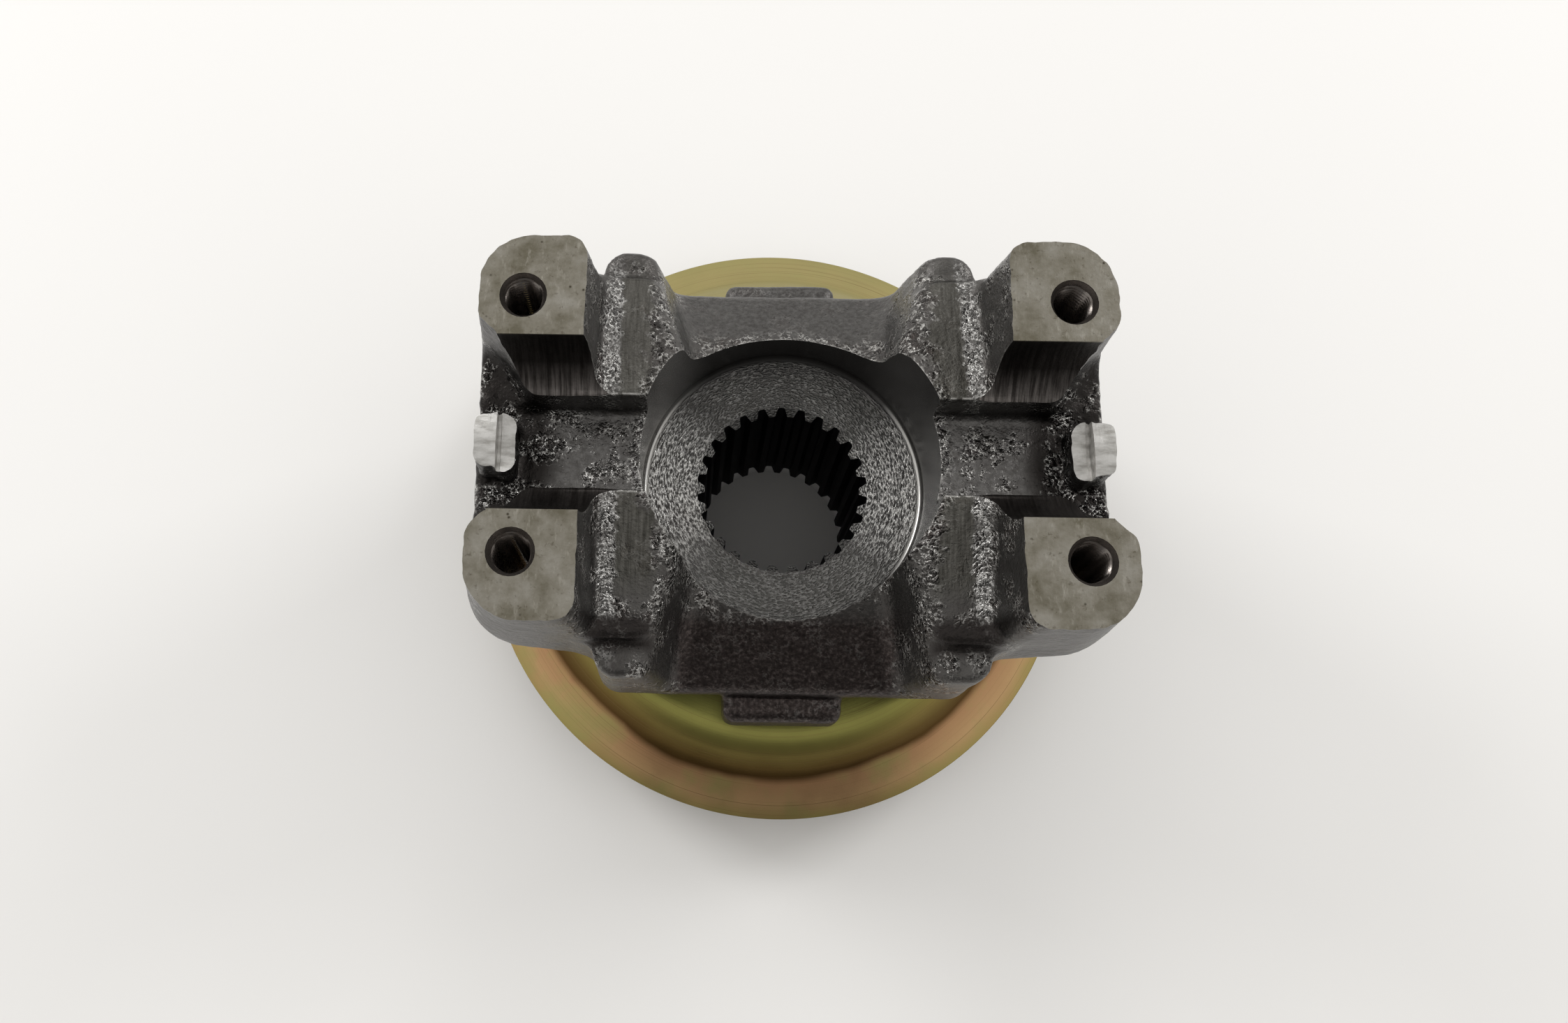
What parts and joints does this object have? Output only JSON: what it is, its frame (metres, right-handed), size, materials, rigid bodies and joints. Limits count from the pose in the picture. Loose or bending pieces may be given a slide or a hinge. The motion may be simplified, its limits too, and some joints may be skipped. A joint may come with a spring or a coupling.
{
  "type": "pinion yoke with dust shield",
  "caption": "Forged U-joint yoke with a splined hub, strap-type bearing cap saddles, tapped pads and a pressed dust shield round the hub.",
  "frame": {"origin": "on the bore's axis at the hub's lower end face", "axes": "+Z along the bore towards the ears, X along the bearing caps' common axis"},
  "size_m": [0.1074, 0.1074, 0.078],
  "materials": {
    "forged_steel": "dark forged scale, with bare machined faces",
    "plated_sheet": "yellow dichromate zinc plate on pressed sheet"
  },
  "bodies": {
    "root": {"yoke": "forged_steel", "dust_shield": "plated_sheet"}
  },
  "joints": []
}
